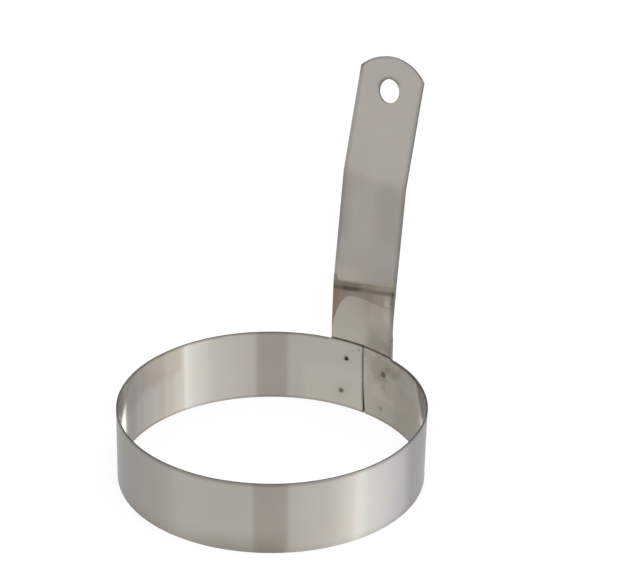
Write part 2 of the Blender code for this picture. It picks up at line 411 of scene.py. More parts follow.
class Graph:
    """A short way to add nodes to a material or world tree."""

    def __init__(self, tree):
        self.tree = tree
        tree.nodes.clear()

    def node(self, kind, inputs=None, **settings):
        made = self.tree.nodes.new("ShaderNode" + kind)
        for key, value in settings.items():
            setattr(made, key, value)
        for key, value in (inputs or {}).items():
            if isinstance(value, bpy.types.NodeSocket):
                self.tree.links.new(value, made.inputs[key])
            else:
                made.inputs[key].default_value = value
        return made

    def finish(self, shader, kind="OutputMaterial"):
        output = self.node(kind)
        self.tree.links.new(shader.outputs[0], output.inputs[0])

    def math(self, operation, a, b=0.0, clamp=False):
        return self.node("Math", {0: a, 1: b}, operation=operation, use_clamp=clamp).outputs[0]

    def plus(self, a, b):
        return self.math("ADD", a, b)

    def minus(self, a, b):
        return self.math("SUBTRACT", a, b)

    def times(self, a, b):
        return self.math("MULTIPLY", a, b)

    def blend(self, share, a, b):
        return self.plus(a, self.times(share, self.minus(b, a)))

    def dimmed(self, level, share, depth):
        """Takes a share of a depth from a level, or adds where the depth is below 0."""
        return self.times(level, self.minus(1.0, self.times(share, depth)))

    def ramp(self, value, low, high, to_low=0.0, to_high=1.0, kind="SMOOTHSTEP"):
        sockets = {0: value, "From Min": low, "From Max": high, "To Min": to_low, "To Max": to_high}
        return self.node("MapRange", sockets, interpolation_type=kind).outputs[0]

    def rise(self, value, low, high):
        """0 up to low mm and 1 from high mm on."""
        return self.ramp(value, low * MM, high * MM)

    def fall(self, value, low, high):
        """1 up to low mm and 0 from high mm on."""
        return self.ramp(value, low * MM, high * MM, 1.0, 0.0)

    def between(self, value, low, high, soft):
        """1 between two places in mm and 0 outside, each side softened over soft mm."""
        rise = self.rise(value, low - soft / 2, low + soft / 2)
        return self.times(rise, self.fall(value, high - soft / 2, high + soft / 2))

    def noise(self, vector, scale, detail=3.0, rough=0.5):
        sockets = {"Vector": vector, "Scale": scale, "Detail": detail, "Roughness": rough}
        return self.node("TexNoise", sockets).outputs[0]

    def vary(self, value, low, high):
        """Spreads the usual range of a noise over low to high."""
        return self.ramp(value, 0.3, 0.7, low, high, "LINEAR")

    def ripple(self, vector, scale, size, detail=3.0):
        """Noise about 0, for edges that waver."""
        return self.times(self.minus(self.noise(vector, scale, detail), 0.5), size)

    def place(self):
        return self.node("TexCoord").outputs["Object"]

    def parts(self, vector):
        return self.node("SeparateXYZ", {"Vector": vector}).outputs

    def vector(self, operation, a, b, output="Value"):
        return self.node("VectorMath", {0: a, 1: b}, operation=operation).outputs[output]

    def scaled(self, vector, factor):
        return self.node("VectorMath", {0: vector, "Scale": factor}, operation="SCALE").outputs[0]

    def mix(self, factor, a, b, kind="MIX"):
        return self.node("Mix", {0: factor, 6: a, 7: b}, data_type="RGBA", blend_type=kind).outputs[2]

    def tinted(self, base, share, tint):
        """Multiplies a colour by a tint, by the given share."""
        return self.mix(share, base, self.mix(1.0, base, rgba(tint), "MULTIPLY"))

    def mix_shader(self, share, a, b):
        return self.node("MixShader", {0: share, 1: a.outputs[0], 2: b.outputs[0]})

    def rays(self, *kinds):
        """1 for a ray of any of the given kinds."""
        path = self.node("LightPath").outputs
        share = path[f"Is {kinds[0]} Ray"]
        for kind in kinds[1:]:
            share = self.math("ADD", share, path[f"Is {kind} Ray"], clamp=True)
        return share

    def bump(self, height, strength, distance):
        sockets = {"Height": height, "Strength": strength, "Distance": distance}
        return self.node("Bump", sockets).outputs[0]


def rgba(colour):
    return (*colour, 1.0)


def new_material(name):
    made = bpy.data.materials.new(name)
    made.use_nodes = True
    return made, Graph(made.node_tree)


def warm_level(level, warmth=WARMTH):
    """Tint for a brightness of the steel, browner where it is darker."""
    warm = warmth + WARMER_WHERE_DARK * max(1 - level, 0)
    return (level * (1 + warm), level, level * (1 - warm))


def steel(name, roughness, tangent, grain_tone, dress):
    """Rolled stainless sheet: grain along U, cloudy wear, fine bump; dress adds the part's own marks and
    painted light.
    """
    made, graph = new_material(name)
    uv = graph.node("UVMap", uv_map="grain").outputs[0]
    fine = graph.node("Mapping", {"Vector": uv, "Scale": FINE_GRAIN}).outputs[0]
    wide = graph.node("Mapping", {"Vector": uv, "Scale": WIDE_GRAIN}).outputs[0]
    grain = graph.noise(fine, 1.0, 2.0)
    streak = graph.noise(wide, 1.0, 3.0)
    cloud = graph.noise(uv, 55.0, 4.0)
    tone = graph.plus(graph.vary(streak, -grain_tone, grain_tone), graph.vary(cloud, 0.97, 1.03))
    tone = graph.plus(tone, graph.vary(grain, -grain_tone, grain_tone))
    hues = [rgba([c * t for c, t in zip(STEEL_COLOUR, hue)]) for hue in STEEL_HUES]
    colour = graph.mix(graph.ramp(graph.noise(uv, 90.0, 2.0), 0.35, 0.65), *hues)
    shader = graph.node("BsdfPrincipled", {
        "Base Color": dress(graph, uv, graph.scaled(colour, tone)),
        "Metallic": 1.0,
        "Roughness": graph.vary(cloud, roughness - ROUGHNESS_RANGE, roughness + ROUGHNESS_RANGE),
        "Anisotropic": STEEL_ANISOTROPY,
        "Anisotropic Rotation": 0.25,
        "Normal": graph.bump(grain, 0.12, 0.01 * MM),
        "Tangent": graph.node("Tangent", **tangent).outputs[0],
    })
    graph.finish(shader)
    return made


def weld_tint(graph, colour, marks):
    """Heat rings round the welds and flecks, laid over a steel colour."""
    place = graph.place()
    ripple = graph.minus(graph.noise(place, 1100.0), 0.5)
    for centre, radius, dark in marks:
        gap = graph.plus(graph.vector("DISTANCE", place, centre), graph.times(ripple, radius * 0.9))
        for tint, first, last, strength in HEAT_RINGS:
            share = graph.ramp(gap, radius * first, radius * last, strength * dark, 0.0)
            colour = graph.mix(share, colour, rgba(tint))
    return colour


def seam_grime(graph, uv, colour):
    """Dark residue along both lips of the butt seam, thinner half way up."""
    arc = graph.parts(uv)[0]
    place = graph.place()
    height = graph.parts(place)[2]
    gap = graph.math("MINIMUM", graph.minus(arc, SEAM_START), graph.minus(SEAM_END, arc))
    gap = graph.plus(gap, graph.ripple(place, 700.0, GRIME_RIPPLE))
    away = graph.rise(graph.math("ABSOLUTE", graph.minus(height, GRIME_THIN_HEIGHT)), 2.0, 6.0)
    reach = graph.plus(graph.times(away, GRIME_EXTRA), GRIME_REACH)
    share = graph.math("SUBTRACT", 1.0, graph.math("DIVIDE", gap, reach), clamp=True)
    return graph.mix(graph.times(share, GRIME_STRENGTH), colour, rgba(GRIME_COLOUR))


def band_marks_and_painted_light(graph, uv, base):
    rows = [*WELDS.values(), *FLECKS]
    marks = [(on_wall(arc, z, INNER_RADIUS), radius, dark) for arc, z, radius, dark in rows]
    return weld_tint(graph, seam_grime(graph, uv, band_wear_and_painted_light(graph, uv, base)), marks)


def band_wear_and_painted_light(graph, uv, base):
    """Rubbed rims, a darker outer foot, painted contact shade along the inner foot, painted reflection
    and shade in areas of the inner face, and stains; the inner face is the far part of V.
    """
    arc, section = graph.parts(uv)[:2]
    place = graph.place()
    height = graph.parts(place)[2]
    inside = graph.math("GREATER_THAN", section, RING_HEIGHT + 0.2 * MM)
    outside = graph.minus(1.0, inside)
    behind = graph.math("GREATER_THAN", arc, FULL_ARC / 2)
    arc = graph.minus(arc, graph.times(behind, FULL_ARC))
    level = graph.plus(height, graph.ripple(place, 160.0, 1.0 * MM, 4.0))
    side = graph.minus(graph.vector("DOT_PRODUCT", place, DARKER_SIDE), AXIS.dot(DARKER_SIDE))
    darker = graph.ramp(side, DARKER_SIDE_FAR[0] * MM, DARKER_SIDE_FAR[1] * MM, DARKER_SIDE_FAR_SHARE, 1.0)
    darker = graph.times(graph.fall(side, *DARKER_SIDE_END), darker)
    clean = graph.dimmed(1.0, graph.between(arc, *CLEAN_RIM), CLEAN_RIM_SHARE)
    # rubbed rims, a darker outer foot, and painted contact shade along the inner foot
    for face, part, step, value, (rows, tint) in (
        (outside, 1.0, graph.rise, height, OUTER_RIM_WEAR),
        (outside, 1.0, graph.fall, height, OUTER_FOOT_DARKER),
        (outside, darker, graph.fall, level, SIDE_FOOT_DARKER),
        (inside, clean, graph.rise, level, INNER_RIM_WEAR),
        (inside, 1.0, graph.fall, height, INNER_FOOT_SHADE),
    ):
        base = graph.tinted(base, graph.times(graph.times(face, part), step(value, *rows)), tint)
    # painted reflection and shade: brighter and darker areas of the inner face
    for places, bright, rows in INNER_AREAS:
        share = graph.times(inside, graph.between(arc, *places))
        share = graph.times(share, graph.between(level, *rows))
        base = graph.tinted(base, share, warm_level(bright, INNER_AREA_WARMTH))
    cloud = graph.vary(graph.noise(place, 130.0, 4.0, 0.6), 0.4, 1.6)
    for (arc_mm, height_mm), size, bright in INNER_STAINS:
        centre = on_wall(arc_mm * MM, height_mm * MM, INNER_RADIUS)
        gap = graph.times(graph.vector("DISTANCE", place, centre), cloud)
        share = graph.times(inside, graph.fall(gap, size * STAIN_CORE, size * STAIN_REACH))
        base = graph.tinted(base, share, warm_level(bright, 0.0))
    return base


def handle_marks_and_painted_light(graph, uv, base):
    back = FOOT_RADIUS + HANDLE_GAUGE
    reach = MARK_RADIUS * 0.6
    marks = [(on_wall(arc, z, back), reach, 0.5 * burnt) for arc, z, _, burnt in WELDS.values()]
    return weld_tint(graph, handle_painted_light(graph, uv, base), marks)


def by_side(graph, left, right, values):
    """A value that goes from the strip's left over its middle to its right."""
    value = graph.plus(values[1], graph.times(left, values[0] - values[1]))
    return graph.plus(value, graph.times(right, values[2] - values[1]))


def crease_painted_light(graph, over, across):
    """Painted shade: a dark groove line at the crease and the darker fold round it; a painted highlight
    on the lip where the flat starts.
    """
    left = graph.fall(across, *LEFT_TO_MIDDLE)
    right = graph.rise(across, *MIDDLE_TO_RIGHT)
    below = by_side(graph, left, right, SHADE_BELOW)
    level = graph.blend(graph.rise(over, *FOLD_START), below, by_side(graph, left, right, SHADE_FOLD))
    level = graph.blend(graph.rise(over, *FOLD_END), level, 1.0)
    groove = graph.times(by_side(graph, left, right, GROOVE_SHADE), graph.between(over, *GROOVE_PLACE))
    groove = graph.dimmed(groove, graph.fall(across, *GROOVE_LEFT_END), GROOVE_END_LOSS)
    level = graph.dimmed(level, groove, 1.0)
    level = graph.dimmed(level, graph.times(left, graph.between(over, *FOLD_LINE)), FOLD_LINE_SHADE)
    glow = graph.times(graph.rise(over, *GLOW_START), graph.fall(over, *GLOW_END))
    level = graph.plus(level, graph.times(glow, by_side(graph, left, right, LIP_HIGHLIGHT)))

    # browner where it is darker, up to the flat
    flat = graph.rise(over, *FLAT_START)
    warm = graph.times(graph.math("MAXIMUM", graph.minus(1.0, level), 0.0), WARMER_WHERE_DARK)
    change = graph.times(level, graph.dimmed(graph.plus(warm, WARMTH), flat, 1.0))
    channels = {"X": graph.plus(level, change), "Y": level, "Z": graph.minus(level, change)}
    return graph.tinted(graph.node("CombineXYZ", channels).outputs[0], flat, FLAT_TINT)


def foot_painted_light(graph, uv, height, across):
    """Front of the foot below the shoulder, with painted light: painted shade near the rim on the right,
    and a painted highlight above that.
    """
    right = graph.rise(across, *FOOT_RIGHT)
    blotch = graph.vary(graph.noise(uv, 300.0), 0.75, 1.25)
    painted_shade = graph.times(graph.fall(height, *FOOT_SHADE_HEIGHT), graph.times(right, blotch))
    foot = graph.plus(FOOT_BRIGHT, graph.times(right, FOOT_RIGHT_BRIGHT))
    foot = graph.dimmed(foot, painted_shade, FOOT_SHADE_DEPTH)
    under = graph.times(graph.rise(across, *UNDER_ACROSS), graph.rise(height, *UNDER_HEIGHT))
    return graph.scaled(warm_level(1.0), graph.dimmed(foot, under, -UNDER_HIGHLIGHT_GAIN))


def painted_glint(graph, height, across):
    """Brightness of the strip with its painted glint, which has a peak and two tails."""
    share = 1.0
    for value, (start, end) in ((across, GLINT_ACROSS), (height, GLINT_HEIGHT)):
        share = graph.times(share, graph.times(graph.rise(value, *start), graph.fall(value, *end)))
    first, peak, last = [place * MM for place in GLINT_PEAK]
    share = graph.times(share, graph.ramp(height, first, peak, GLINT_TAILS[0], 1.0))
    share = graph.times(share, graph.ramp(height, peak, last, 1.0, GLINT_TAILS[1]))
    return graph.plus(1.0, graph.times(share, GLINT_GAIN))


def end_shade(graph, height, across, level):
    """Painted shade where the sheet rolls over a little at its sheared end, most on the left, and above
    the punched hole.
    """
    along = graph.math("DIVIDE", height, cos(UPPER_LEAN))
    place = graph.node("CombineXYZ", {"X": across, "Y": along}).outputs[0]
    tip = TIP_HEIGHT / cos(UPPER_LEAN)
    inset = graph.minus(END_RADIUS, graph.vector("DISTANCE", place, (0.0, tip - END_RADIUS, 0.0)))
    low, high = [side * MM for side in END_ROLL_SIDES]
    rolled = graph.times(graph.fall(inset, *END_ROLL), graph.ramp(across, low, high, *END_ROLL_DEPTHS))
    near = graph.math("GREATER_THAN", along, tip - 0.4 * END_RADIUS)
    level = graph.dimmed(level, graph.times(rolled, near), 1.0)
    hole = tip - HOLE_FROM_TIP
    gap = graph.vector("DISTANCE", place, (0.0, hole, 0.0))
    lifted = graph.plus(graph.minus(along, hole), graph.times(across, HOLE_ROLL_SLANT))
    above = graph.times(graph.fall(gap, *HOLE_ROLL), graph.rise(lifted, *HOLE_ROLL_START))
    return graph.dimmed(level, above, HOLE_ROLL_DEPTH)


def handle_painted_light(graph, uv, base):
    """Painted shade and highlight round the skewed crease and on the front of the foot below it, a
    painted glint, and painted light and shade in areas of the strip and at its end.
    """
    height, across = graph.parts(uv)[:2]
    ripple = graph.ripple(uv, 260.0, 0.5 * MM)
    line = graph.plus(graph.times(across, tan(CREASE_SKEW)), CREASE_HEIGHT)
    above = graph.plus(graph.minus(height, line), ripple)
    curl = graph.times(graph.fall(across, *CURL_PLACE), CURL_RISE)
    over = graph.math("MAXIMUM", graph.minus(above, curl), graph.math("MINIMUM", above, CURL_KEEP))
    tint = crease_painted_light(graph, over, across)

    # the foot's front, up to the shoulder
    deepest, power = SHOULDER_LEFT
    share = graph.ramp(across, -HALF_WIDTH, 0.0, 1.0, 0.0, "LINEAR")
    drop = graph.times(graph.math("POWER", share, power), deepest)
    past = graph.plus(graph.minus(height, SHOULDER_HEIGHT), drop)
    past = graph.plus(past, graph.times(ripple, 0.5))
    tint = graph.mix(graph.rise(past, -0.2, 0.5), foot_painted_light(graph, uv, height, across), tint)

    # painted glint, painted lighter corner, and painted light and shade in areas of the strip and at its
    # end
    level = painted_glint(graph, height, across)
    patch = graph.times(graph.fall(across, *CORNER_ACROSS), graph.between(above, *CORNER_PLACE))
    level = graph.dimmed(level, graph.times(patch, graph.rise(past, 0.0, 0.5)), -CORNER_GAIN)
    for places, bright, rows in HANDLE_AREAS:
        share = graph.times(graph.between(across, *places), graph.between(height, *rows))
        level = graph.dimmed(level, share, 1 - bright)
    level = end_shade(graph, height, across, level)
    return graph.scaled(graph.vector("MULTIPLY", base, tint, "Vector"), level)


def cut_edge(name, colour, painted_light_parts=()):
    """Sheared and tumbled edge of the sheet, darker than its faces, with painted light that makes it
    brighter in the given parts.
    """
    made, graph = new_material(name)
    place = graph.place()
    tone = graph.vary(graph.noise(place, 700.0, 4.0), 0.75, 1.25)
    x, y = graph.parts(place)[:2]
    # painted light: the rim's edge painted brighter in these parts
    for low, high, added in painted_light_parts:
        share = graph.times(graph.between(x, low, high, 1.0), graph.math("GREATER_THAN", y, 0.0))
        tone = graph.dimmed(tone, share, -added)
    shader = graph.node("BsdfPrincipled", {
        "Base Color": graph.scaled(colour, tone),
        "Metallic": 1.0,
        "Roughness": EDGE_ROUGHNESS,
        "Normal": graph.bump(graph.noise(place, 2600.0), 0.4, 0.03 * MM),
    })
    graph.finish(shader)
    return made


def weld_metal(name, burnt):
    """Pitted metal in the bottom of a weld, from nearly clean to burnt brown."""
    made, graph = new_material(name)
    grit = graph.noise(graph.place(), 2500.0, 5.0, 0.65)
    dark = [clean + (scorched - clean) * burnt for clean, scorched in zip(WELD_CLEAN, WELD_BURNT)]
    bright = [tone * 1.6 for tone in dark]
    shader = graph.node("BsdfPrincipled", {
        "Base Color": graph.mix(graph.ramp(grit, 0.35, 0.75), rgba(dark), rgba(bright)),
        "Metallic": 0.8,
        "Roughness": WELD_ROUGHNESS,
        "Normal": graph.bump(grit, 0.8, 0.08 * MM),
    })
    graph.finish(shader)
    return made


def add_piece(name, mesh, nodes, materials):
    made = add_object(name, mesh)
    for i, material in enumerate(materials):
        if i < len(mesh.materials):
            mesh.materials[i] = material
        else:
            mesh.materials.append(material)
    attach(made, "root")
    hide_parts(*nodes)


def mesh_from(shape, name):
    mesh = bpy.data.meshes.new(name)
    shape.to_mesh(mesh)
    shape.free()
    return mesh


def join_rings(shape, first, second):
    """Adds the faces between two rings of points, or a fan where the first is one point."""
    faces = []
    for step, point in enumerate(second):
        after = (step + 1) % len(second)
        corners = [first[step % len(first)], point, second[after]]
        if len(first) > 1:
            corners.append(first[after])
        faces.append(shape.faces.new(corners))
    return faces


def on_wall(arc, height, radius):
    """Point of a ring wall, from its arc on the inner face."""
    angle = pi / 2 - arc / INNER_RADIUS
    return AXIS + Vector((radius * cos(angle), radius * sin(angle), height))


def spread(low, high, step):
    count = max(1, round((high - low) / step))
    return [low + (high - low) * i / count for i in range(count + 1)]


def clamped(value):
    return min(max(value, 0), 1)


def pit_bottom(burnt):
    return PIT_DEPTH * (0.4 + 0.6 * burnt)


def pit_depth(arc, height):
    """How far the inner face is sunk by the weld pits and their dishes, less the pits' raised lips."""
    depth = 0.0
    for weld_arc, weld_height, pit, burnt in WELDS.values():
        gap = hypot(arc - weld_arc, height - weld_height)
        if gap < pit:
            depth += pit_bottom(burnt) * (1 - (gap / pit) ** 2) ** 2
        if gap < DISH_RADIUS:
            depth += DISH_DEPTH * (1 - (gap / DISH_RADIUS) ** 2) ** 2
        depth -= PIT_LIP * exp(-(((gap - pit * 1.15) / PIT_LIP_WIDTH) ** 2))
    return depth


def roll_wave(arc):
    """Slight unevenness left by the rolls, always inwards."""
    turn = arc / INNER_RADIUS
    wave = sum(share * sin(count * turn + phase) for share, count, phase in ROLL_WAVES)
    return ROLL_DEPTH * (wave - 1)


def bulge(arc, height):
    away = (arc / INNER_RADIUS - BULGE_MIDDLE) / BULGE_REACH
    if abs(away) >= 1:
        return 0.0
    return BULGE * (1 - away**4) ** 2 * (height / RING_HEIGHT) ** BULGE_RISE


def lip(arc, height):
    """Moves an arc near the butt seam, which leans a little and opens towards its foot."""
    share = max(1 - height / SEAM_OPEN_HEIGHT, 0) ** SEAM_OPEN_POWER
    lean = SEAM_LEAN * (1 - height / RING_HEIGHT)
    right = (share * SEAM_FOOT_RIGHT + lean) * max(1 - (arc - SEAM_START) / SEAM_REACH, 0)
    left = (share * SEAM_FOOT_LEFT + lean) * max(1 - (SEAM_END - arc) / SEAM_REACH, 0)
    return arc + right + left


def band_arcs():
    """Columns of the band as arcs on the inner face, close together near the welds and the seam."""
    fine_from = FULL_ARC - FINE_LEFT
    arcs = spread(SEAM_START, FINE_RIGHT, FINE_STEP)[:-1]
    arcs += spread(FINE_RIGHT, fine_from, COARSE_STEP)[:-1]
    return arcs + spread(fine_from, SEAM_END, FINE_STEP)


def wall_heights():
    """Rows of the inner face, from the top down, close together at the welds."""
    rows = []
    low = RIM_ROUND
    for until, step in INNER_ROWS:
        rows += spread(low, until * MM, step * MM)[:-1]
        low = until * MM
    rows += spread(low, RING_HEIGHT - RIM_ROUND, TOP_STEP)
    return rows[::-1]


def corner(centre_r, centre_z, start_degrees, steps=4):
    """Edge points of a quarter round in the section, without its two ends."""
    points = []
    for i in range(1, steps):
        angle = radians(start_degrees + 90 * i / steps)
        r = centre_r + RIM_ROUND * cos(angle)
        points.append((r, centre_z + RIM_ROUND * sin(angle), "edge"))
    return points


def band_section():
    """The section's points as (radius, height, kind), round from the outer wall's foot."""
    low, high = RIM_ROUND, RING_HEIGHT - RIM_ROUND
    outer, inner = RING_RADIUS - RIM_ROUND, INNER_RADIUS + RIM_ROUND
    section = [(RING_RADIUS, z, "wall") for z in spread(low, high, OUTER_STEP)]
    section += corner(outer, high, 0)
    section += [(outer, RING_HEIGHT, "edge"), (inner, RING_HEIGHT, "edge")]
    section += corner(inner, high, 90)
    section += [(INNER_RADIUS, z, "inner") for z in wall_heights()]
    section += corner(inner, low, 180)
    section += [(inner, 0.0, "edge"), (outer, 0.0, "edge")]
    return section + corner(outer, low, 270)


def band_mesh():
    section = band_section()
    arcs = band_arcs()
    count = len(section)
    shape = bmesh.new()
    grain = shape.loops.layers.uv.new("grain")
    around = [0.0]
    for i in range(count):
        a, b = section[i], section[(i + 1) % count]
        around.append(around[-1] + hypot(b[0] - a[0], b[1] - a[1]))
    rings = []
    for arc in arcs:
        ring = []
        near = arc if arc < FULL_ARC / 2 else arc - FULL_ARC
        for radius, height, kind in section:
            sunk = pit_depth(near, height) if kind == "inner" else 0.0
            reach = radius + sunk + roll_wave(arc) + bulge(arc, height)
            ring.append(shape.verts.new(on_wall(lip(arc, height), height, reach)))
        rings.append(ring)
    for c in range(len(arcs) - 1):
        for i in range(count):
            j = (i + 1) % count
            face = shape.faces.new((rings[c][i], rings[c][j], rings[c + 1][j], rings[c + 1][i]))
            face.smooth = True
            kinds = {section[i][2], section[j][2]}
            face.material_index = 1 if kinds == {"edge"} else 0
            corners = ((c, i), (c, i + 1), (c + 1, i + 1), (c + 1, i))
            for loop, (column, row) in zip(face.loops, corners):
                loop[grain].uv = (arcs[column], around[row])
    for ring in (rings[0][::-1], rings[-1]):
        cap = shape.faces.new(ring)
        cap.material_index = 1
    bmesh.ops.recalc_face_normals(shape, faces=shape.faces)
    mesh = mesh_from(shape, "rolled_band")
    mesh.set_sharp_from_angle(angle=radians(60))
    return mesh


def flat_y(z):
    """How far the strip's front stands from the ring's axis above the crease, with the bend rounded."""
    rise = tan(UPPER_LEAN) - tan(LOWER_LEAN)
    y = FOOT_RADIUS - CREASE_INSET + (z - CREASE_HEIGHT) * tan(LOWER_LEAN)
    past = z - BEND_HEIGHT
    if past >= BEND_HALF:
        return y + rise * past
    if past > -BEND_HALF:
        return y + rise * (past + BEND_HALF) ** 2 / (4 * BEND_HALF)
    return y


def shoulder_z(across):
    drop, power = SHOULDER_LEFT if across < 0 else SHOULDER_RIGHT
    return SHOULDER_HEIGHT - drop * abs(across / HALF_WIDTH) ** power


def crease_z(across):
    return CREASE_HEIGHT + across * tan(CREASE_SKEW)


def end_z(across):
    sagitta = END_RADIUS - sqrt(max(END_RADIUS**2 - across**2, 0))
    return TIP_HEIGHT - sagitta * cos(UPPER_LEAN)


def row_height(across, place):
    """Height of a grid row of the blank, from its place between 0 at the foot and 1 at the tip."""
    lines = (
        FOOT_LIFT,
        shoulder_z(across),
        crease_z(across),
        crease_z(across) + FOLD_BAND,
        BEND_HEIGHT - BEND_HALF,
        BEND_HEIGHT + BEND_HALF,
        end_z(HALF_WIDTH) - CORNER_ROUND * 2,
        end_z(across),
    )
    row = place * sum(HANDLE_ROWS)
    for i, count in enumerate(HANDLE_ROWS):
        if row <= count + 1e-6:
            return lines[i] + (lines[i + 1] - lines[i]) * row / count
        row -= count
    return lines[-1]


def press(across, z):
    """Carries a point of the flat blank to its place on the foot, the transition or the flats."""
    turn = across / FOOT_RADIUS
    seat = FOOT_RADIUS + bulge(across, min(z, RING_HEIGHT))
    seat -= SEAT_CLOSE * clamped(across / SEAT_CLOSE_REACH)
    foot = Vector((seat * sin(turn), seat * cos(turn), z))
    low, high = shoulder_z(across), crease_z(across)
    if z <= low:
        return AXIS + foot
    if z >= high:
        above = min((z - high) / FOLD_BAND, 1)
        return AXIS + Vector((across, flat_y(z) + CREASE_DEPTH * (1 - above) ** 2, z))
    crease = Vector((across, flat_y(high) + CREASE_DEPTH, z))
    ease = 1 + (BLEND_POWER_RIGHT - 1) * clamped(across / (0.5 * HALF_WIDTH))
    return AXIS + foot.lerp(crease, ((z - low) / (high - low)) ** ease)


def pressed_sheet():
    shape = bmesh.new()
    grain = shape.loops.layers.uv.new("grain")
    bmesh.ops.create_grid(shape, x_segments=HANDLE_COLUMNS, y_segments=sum(HANDLE_ROWS), size=1)
    blank = {}
    for vert in shape.verts:
        across = vert.co.x * HALF_WIDTH
        height = row_height(across, (vert.co.y + 1) / 2)
        blank[vert] = (height, across)
        vert.co = press(across, height)
    for face in shape.faces:
        face.smooth = True
        for loop in face.loops:
            loop[grain].uv = blank[loop.vert]
    return mesh_from(shape, "pressed_handle")


def baked(owner):
    graph = bpy.context.evaluated_depsgraph_get()
    mesh = bpy.data.meshes.new_from_object(owner.evaluated_get(graph))
    owner.modifiers.clear()
    owner.data = mesh
    return mesh


def is_outer(edge, side):
    """Whether an edge goes straight through the sheet at one side of the strip."""
    a, b = [vert.co for vert in edge.verts]
    length = edge.calc_length()
    through = 0.8 * HANDLE_GAUGE < length < 1.2 * HANDLE_GAUGE and abs(b.y - a.y) > 0.9 * length
    return through and min(a.x * side, b.x * side) > HALF_WIDTH * 0.95


def dress_strip(mesh):
    """Rounds the strip's corners and sinks the weld marks into the back of the foot."""
    shape = bmesh.new()
    shape.from_mesh(mesh)
    corners = []
    for side in (-1, 1):
        outer = [edge for edge in shape.edges if is_outer(edge, side)]
        outer.sort(key=lambda edge: edge.verts[0].co.z + edge.verts[1].co.z)
        corners += [outer[0], outer[-1]]
    bmesh.ops.bevel(shape, geom=corners, offset=CORNER_ROUND, segments=6, profile=0.5, affect="EDGES")
    for vert in shape.verts:
        flat = Vector((vert.co.x - AXIS.x, vert.co.y - AXIS.y, 0))
        if vert.co.z > RING_HEIGHT or flat.length < FOOT_RADIUS + HANDLE_GAUGE * 0.8:
            continue
        arc = atan2(flat.x, flat.y) * INNER_RADIUS
        sunk = 0.0
        for weld_arc, weld_height, _, _ in WELDS.values():
            gap = hypot(arc - weld_arc, vert.co.z - weld_height)
            if gap < MARK_RADIUS:
                sunk += MARK_DEPTH * (1 - (gap / MARK_RADIUS) ** 4)
        vert.co -= flat.normalized() * sunk
    shape.to_mesh(mesh)
    shape.free()


def hole_cutter():
    """The hang hole's punch: straight through the sheet, and flared a little at both faces."""
    reach = 2 * MM
    straight = HANDLE_GAUGE / 2 - HOLE_FLARE
    outline = ((reach, reach - straight), (straight, 0), (-straight, 0), (-reach, reach - straight))
    shape = bmesh.new()
    rings = []
    for along, extra in outline:
        ring = []
        for step in range(HOLE_STEPS):
            turn = 2 * pi * step / HOLE_STEPS
            radius = HOLE_DIAMETER / 2 + extra
            ring.append(shape.verts.new((radius * cos(turn), radius * sin(turn), along)))
        rings.append(ring)
    faces = [shape.faces.new(rings[0]), shape.faces.new(rings[-1][::-1])]
    for upper, lower in zip(rings, rings[1:]):
        faces += join_rings(shape, upper, lower)
    for face in faces:
        face.material_index = 1
        face.smooth = len(face.verts) == 4
    bmesh.ops.recalc_face_normals(shape, faces=shape.faces)
    mesh = mesh_from(shape, "hang_hole")
    for _ in range(2):
        mesh.materials.append(None)
    punch = add_object("hang_hole", mesh)
    centre = TIP_HEIGHT - HOLE_FROM_TIP * cos(UPPER_LEAN)
    middle = flat_y(centre) + HANDLE_GAUGE / 2 * cos(UPPER_LEAN)
    punch.location = AXIS + Vector((0, middle, centre))
    punch.rotation_euler.x = pi / 2 - UPPER_LEAN
    return punch


def handle_mesh():
    body = add_object("strip", pressed_sheet())
    for _ in range(2):
        body.data.materials.append(None)
    wall = body.modifiers.new("gauge", "SOLIDIFY")
    wall.thickness = HANDLE_GAUGE
    wall.offset = -1
    wall.use_even_offset = True
    wall.material_offset_rim = 1
    dress_strip(baked(body))
    bevel = body.modifiers.new("edges", "BEVEL")
    bevel.width = EDGE_ROUND
    bevel.segments = 3
    bevel.limit_method = "ANGLE"
    bevel.angle_limit = radians(50)
    bevel.material = 1
    punch = hole_cutter()
    boolean = body.modifiers.new("punch", "BOOLEAN")
    boolean.operation = "DIFFERENCE"
    boolean.solver = "EXACT"
    boolean.object = punch
    weighted = body.modifiers.new("normals", "WEIGHTED_NORMAL")
    weighted.keep_sharp = True
    weighted.weight = 50
    mesh = baked(body)
    mesh.name = "pressed_handle"
    for extra in (body, punch):
        bpy.data.objects.remove(extra, do_unlink=True)
    return mesh


def nugget_mesh(name, arc, height, radius, size, swell, seed):
    """A lumpy disc of weld metal whose face points along the wall's radius."""
    shape = bmesh.new()
    centre = on_wall(arc, height, radius)
    outward = (centre - on_wall(arc, height, 0)).normalized()
    side = Vector((outward.y, -outward.x, 0))
    tops, lows = [], []
    for ring in range(NUGGET_RINGS + 1):
        share = ring / NUGGET_RINGS
        row, under = [], []
        for step in range(NUGGET_STEPS if ring else 1):
            angle = 2 * pi * step / NUGGET_STEPS
            ragged = 1 + 0.12 * sin(3 * angle + seed) + 0.07 * sin(5 * angle + 2.3 * seed)
            reach = size * share * ragged
            lump = swell * (1 - share**2) * (1 + 0.4 * sin(4 * angle * share + seed))
            spot = centre + side * reach * cos(angle) + Vector((0, 0, reach * sin(angle)))
            row.append(shape.verts.new(spot + outward * lump))
            under.append(shape.verts.new(spot - outward * abs(swell) * copysign(0.6, swell)))
        tops.append(row)
        lows.append(under)
    for rows in (tops, lows):
        for inner, outer in zip(rows, rows[1:]):
            join_rings(shape, inner, outer)
    join_rings(shape, tops[-1], lows[-1])
    bmesh.ops.recalc_face_normals(shape, faces=shape.faces)
    for face in shape.faces:
        face.smooth = True
    return mesh_from(shape, name)


